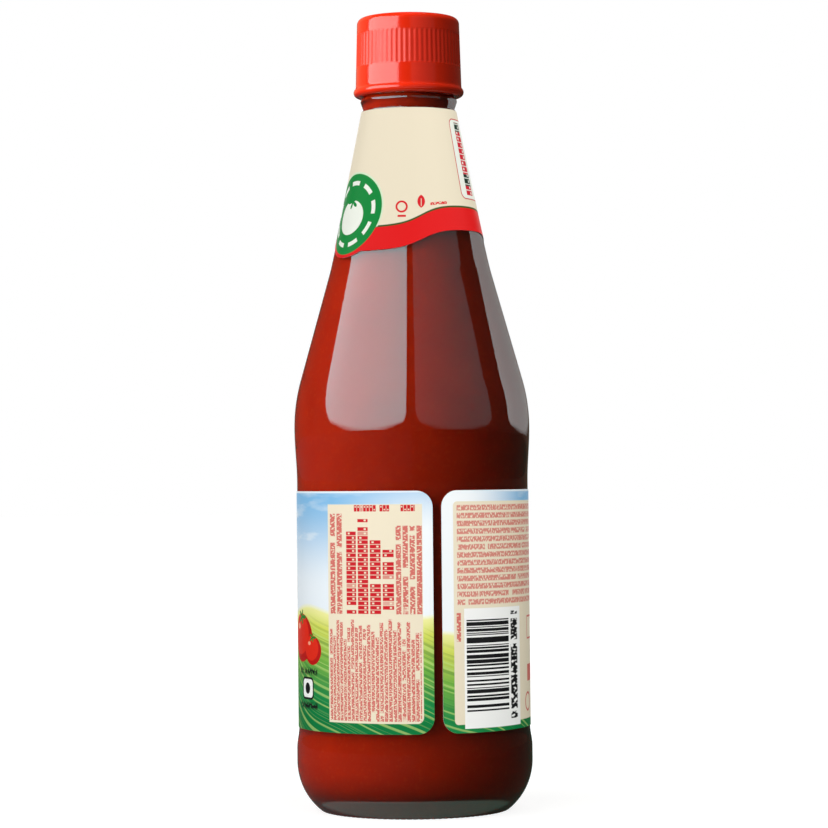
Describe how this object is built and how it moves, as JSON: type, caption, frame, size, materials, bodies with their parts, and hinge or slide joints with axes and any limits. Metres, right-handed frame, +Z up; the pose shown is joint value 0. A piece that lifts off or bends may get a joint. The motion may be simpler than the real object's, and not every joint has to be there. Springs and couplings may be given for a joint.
{
  "type": "ketchup bottle",
  "caption": "Clear glass ketchup bottle with a long cone neck, filled with red sauce and shut by a ribbed screw cap, with a wavy-edged paper neck label and a wrap-round paper body label.",
  "frame": {"origin": "centre of the base, on the surface that the bottle stands on", "axes": "+Z up along the bottle's axis, -Y towards the side where the body label's two ends meet"},
  "size_m": [0.068, 0.068, 0.2297],
  "materials": {
    "clear_glass": "polished",
    "red_sauce": "satin",
    "red_plastic": "gloss",
    "neck_paper": "satin",
    "body_paper": "satin"
  },
  "bodies": {
    "root": {"glass_bottle": "clear_glass", "ketchup": "red_sauce", "screw_cap": "red_plastic", "neck_label": "neck_paper", "body_label": "body_paper"}
  },
  "joints": []
}
